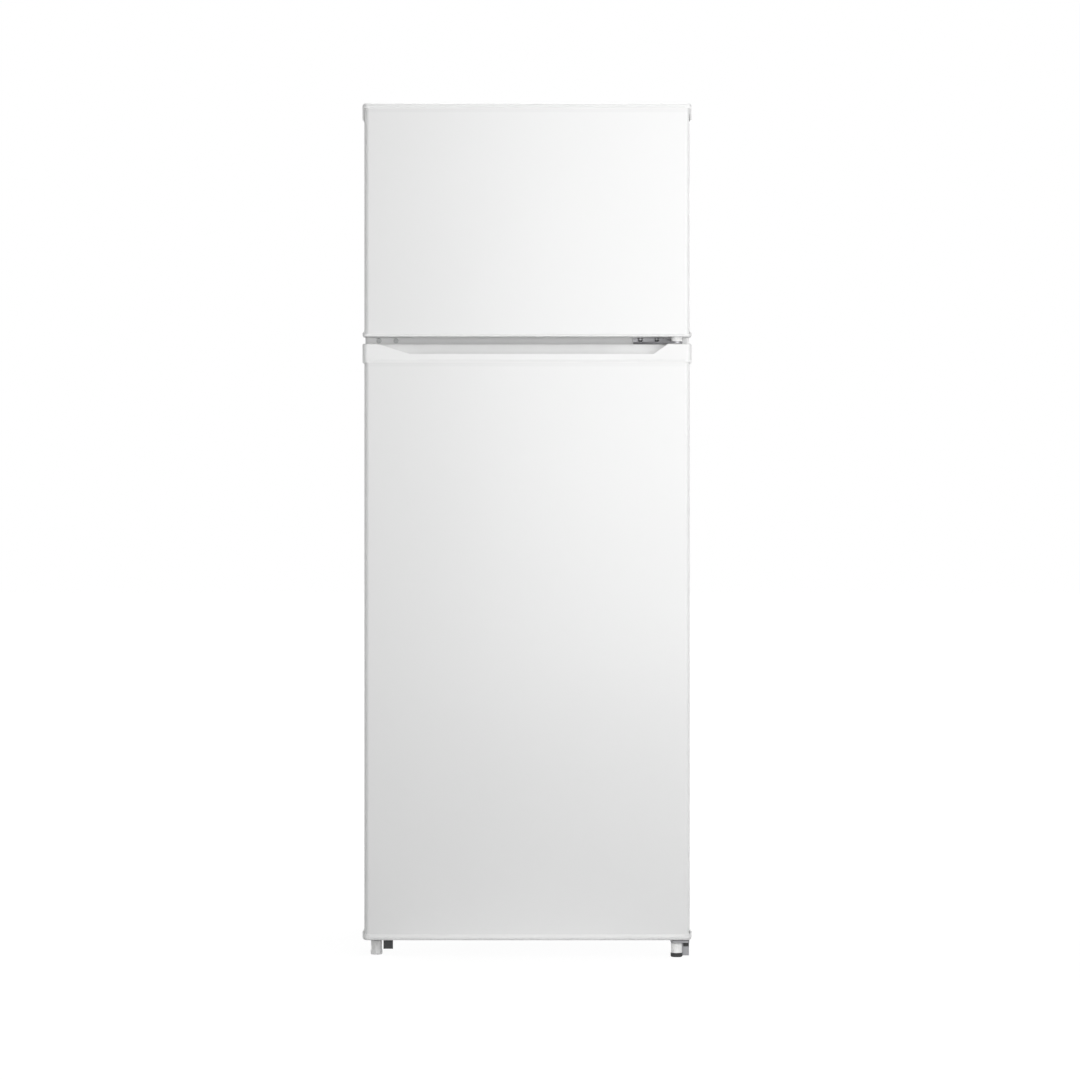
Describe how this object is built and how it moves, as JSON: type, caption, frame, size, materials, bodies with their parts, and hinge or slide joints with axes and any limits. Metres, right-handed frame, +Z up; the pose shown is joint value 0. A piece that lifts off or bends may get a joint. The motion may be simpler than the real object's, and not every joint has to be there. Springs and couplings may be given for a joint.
{
  "type": "top freezer refrigerator",
  "caption": "White free-standing refrigerator with a small freezer door above a tall fridge door, hinged on the right, with a finger scoop along the top of the lower door.",
  "frame": {"origin": "on the floor, under the middle of the whole object's box", "axes": "+X to the right seen from the front, +Y to the back, +Z up"},
  "size_m": [0.551, 0.555, 1.43],
  "materials": {
    "door_paint": "satin",
    "cabinet_paint": "satin",
    "rear_sheet": "satin",
    "insulating_foam": "matte",
    "liner_white": "gloss",
    "hinge_steel": "satin",
    "dark_steel": "satin",
    "bright_steel": "satin",
    "cap_white": "satin",
    "bush_white": "satin",
    "gasket_grey": "matte",
    "clear_plastic": "gloss",
    "shelf_glass": "polished",
    "trim_white": "satin",
    "lens_frost": "satin",
    "wire_white": "gloss",
    "aluminium_sheet": "satin",
    "copper_tube": "satin",
    "compressor_black": "satin",
    "black_plastic": "matte",
    "black_rubber": "matte"
  },
  "bodies": {
    "cabinet": {"left_side_panel": "cabinet_paint", "right_side_panel": "cabinet_paint", "top_panel": "cabinet_paint", "rear_panel": "rear_sheet", "base_pan": "rear_sheet", "centre_rail": "cabinet_paint", "cabinet_foam": "insulating_foam", "freezer_liner": "liner_white", "fridge_liner": "liner_white", "top_hinge_bracket": "hinge_steel", "top_hinge_cover": "cap_white", "middle_hinge_bracket": "hinge_steel", "bottom_hinge_bracket": "hinge_steel", "left_foot_bracket": "dark_steel", "hinge_pins": "bright_steel", "fasteners": "bright_steel", "shelf_glass": "shelf_glass", "crisper_cover": "shelf_glass", "shelf_trims": "trim_white", "freezer_shelf": "wire_white", "control_housing": "liner_white", "lamp_lens": "lens_frost", "freezer_evaporator": "aluminium_sheet", "condenser_coil": "copper_tube", "compressor_base": "rear_sheet", "compressor": "compressor_black", "compressor_grommets": "black_rubber", "terminal_cover": "black_plastic", "drain_pan": "black_plastic", "drain_spout": "liner_white", "refrigerant_pipes": "copper_tube", "cord_grommet": "black_rubber"},
    "freezer_door": {"freezer_door_skin": "door_paint", "freezer_door_top_cap": "cap_white", "freezer_door_bottom_cap": "cap_white", "freezer_door_foam": "insulating_foam", "freezer_door_liner": "liner_white", "freezer_door_gasket": "gasket_grey", "freezer_door_bushes": "bush_white", "freezer_door_bin_1": "clear_plastic", "freezer_door_bin_2": "clear_plastic"},
    "fridge_door": {"fridge_door_skin": "door_paint", "fridge_door_top_cap": "cap_white", "fridge_door_bottom_cap": "cap_white", "fridge_door_foam": "insulating_foam", "fridge_door_liner": "liner_white", "fridge_door_gasket": "gasket_grey", "fridge_door_bushes": "bush_white", "fridge_door_bin_1": "clear_plastic", "fridge_door_bin_2": "clear_plastic", "fridge_door_bin_3": "clear_plastic"},
    "crisper": {"crisper_drawer": "clear_plastic"},
    "thermostat": {"thermostat_knob": "cap_white"},
    "door_switch": {"light_switch": "bush_white"},
    "left_foot": {"left_foot_knob": "bush_white", "left_foot_pad": "bush_white"},
    "right_foot": {"right_foot_knob": "bush_white", "right_foot_pad": "black_rubber"},
    "left_wheel": {"left_roller": "black_plastic"},
    "right_wheel": {"right_roller": "black_plastic"}
  },
  "joints": [
    {"name": "freezer_door_swing", "type": "hinge", "parent": "cabinet", "child": "freezer_door", "pos_m": [0.2508, -0.2545, 1.2345], "axis": [0, 0, 1], "range_deg": [0, 115]},
    {"name": "fridge_door_swing", "type": "hinge", "parent": "cabinet", "child": "fridge_door", "pos_m": [0.2508, -0.2545, 0.5284], "axis": [0, 0, 1], "range_deg": [0, 115]},
    {"name": "crisper_slide", "type": "slide", "parent": "cabinet", "child": "crisper", "axis": [0, -1, 0], "range_m": [0, 0.18]},
    {"name": "light_switch_travel", "type": "slide", "parent": "cabinet", "child": "door_switch", "axis": [0, -1, 0], "range_m": [0, 0.005]},
    {"name": "thermostat_turn", "type": "hinge", "parent": "cabinet", "child": "thermostat", "pos_m": [0.048, -0.125, 0.95], "axis": [0, 0, -1], "range_deg": [0, 270]},
    {"name": "left_foot_height", "type": "slide", "parent": "cabinet", "child": "left_foot", "axis": [0, 0, -1], "range_m": [0, 0.01]},
    {"name": "right_foot_height", "type": "slide", "parent": "cabinet", "child": "right_foot", "axis": [0, 0, -1], "range_m": [0, 0.01]},
    {"name": "left_roller_spin", "type": "hinge", "parent": "cabinet", "child": "left_wheel", "pos_m": [-0.2455, 0.2475, 0.015], "axis": [1, 0, 0], "continuous": true},
    {"name": "right_roller_spin", "type": "hinge", "parent": "cabinet", "child": "right_wheel", "pos_m": [0.2455, 0.2475, 0.015], "axis": [1, 0, 0], "continuous": true}
  ],
  "couplings": [
    {"joint": "crisper_slide", "follows": "fridge_door_swing", "m_per_rad": 0.0896},
    {"joint": "light_switch_travel", "follows": "fridge_door_swing", "m_per_rad": 0.00249}
  ]
}
